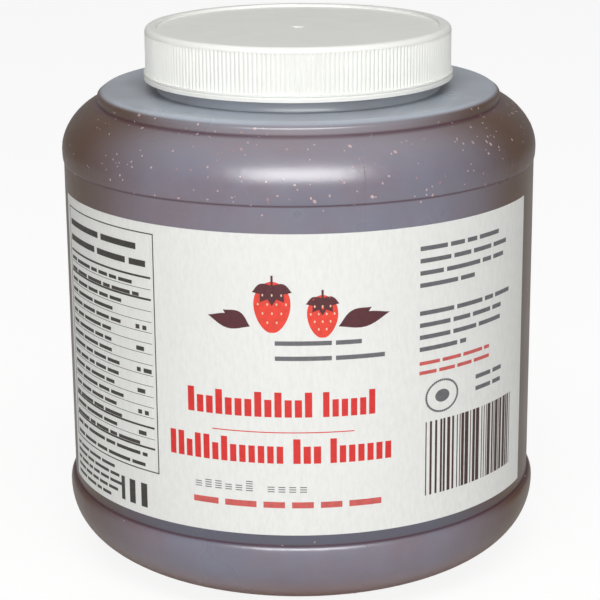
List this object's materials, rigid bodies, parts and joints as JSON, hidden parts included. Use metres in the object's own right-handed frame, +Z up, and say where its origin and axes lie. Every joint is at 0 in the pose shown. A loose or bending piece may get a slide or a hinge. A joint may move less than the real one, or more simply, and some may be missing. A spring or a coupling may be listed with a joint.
{
  "type": "jam jar",
  "caption": "Wide-mouth plastic jar full of dark red jam, with a domed shoulder, a raised ring, a ribbed white screw lid and a wrap label round the front.",
  "frame": {"origin": "centre of the ring that the jar stands on, at table height", "axes": "+Z up along the jar's axis, -Y towards the front of the label, +X to the right of it"},
  "size_m": [0.1308, 0.1308, 0.1461],
  "materials": {
    "jar_wall": "milky translucent, satin gloss",
    "jam": "wet, with seeds",
    "lid": "fine moulded satin",
    "label": "smooth uncoated sheet"
  },
  "bodies": {
    "root": {"jar": "jar_wall", "jam": "jam", "lid": "lid", "label": "label"}
  },
  "joints": []
}
